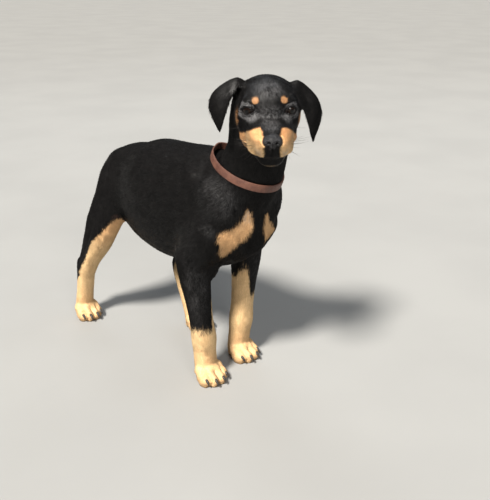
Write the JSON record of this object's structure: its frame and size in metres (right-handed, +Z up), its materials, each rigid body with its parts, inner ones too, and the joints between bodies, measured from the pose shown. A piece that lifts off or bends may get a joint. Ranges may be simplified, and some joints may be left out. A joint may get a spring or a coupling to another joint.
{
  "type": "doberman pinscher puppy",
  "caption": "Life-size Doberman pinscher puppy standing with its head turned, black and tan, with drop ears, a docked tail and a narrow leather collar.",
  "frame": {"origin": "middle of the whole's box in plan, on the floor that the soles stand on", "axes": "+Z up, -Y the way the chest faces, +X the dog's own left"},
  "size_m": [0.1684, 0.4828, 0.4459],
  "materials": {
    "coat": "short flat fur, black, with a soft sheen",
    "tan_coat": "short flat fur, rust tan",
    "nose_leather": "bare, finely grained, slightly moist",
    "eye": "dark brown, clear and glossy",
    "claw": "dark horn, half gloss",
    "collar_leather": "reddish brown, worn, half matt",
    "buckle": "polished steel wire"
  },
  "bodies": {
    "root": {"head": "coat", "nose": "nose_leather", "eye_right": "eye", "eye_left": "eye", "ear_right": "coat", "ear_left": "coat", "neck": "coat", "collar_strap": "collar_leather", "collar_buckle": "buckle", "collar_prong": "buckle", "collar_keeper": "collar_leather", "torso": "coat", "tail": "coat", "foreleg_right": "coat", "forepaw_right": "tan_coat", "thigh_right": "coat", "shank_right": "coat", "hindpaw_right": "tan_coat", "claw_fore_right_1": "claw", "claw_fore_right_2": "claw", "claw_fore_right_3": "claw", "claw_fore_right_4": "claw", "claw_hind_right_1": "claw", "claw_hind_right_2": "claw", "claw_hind_right_3": "claw", "claw_hind_right_4": "claw", "foreleg_left": "coat", "forepaw_left": "tan_coat", "thigh_left": "coat", "shank_left": "coat", "hindpaw_left": "tan_coat", "claw_fore_left_1": "claw", "claw_fore_left_2": "claw", "claw_fore_left_3": "claw", "claw_fore_left_4": "claw", "claw_hind_left_1": "claw", "claw_hind_left_2": "claw", "claw_hind_left_3": "claw", "claw_hind_left_4": "claw"}
  },
  "joints": []
}
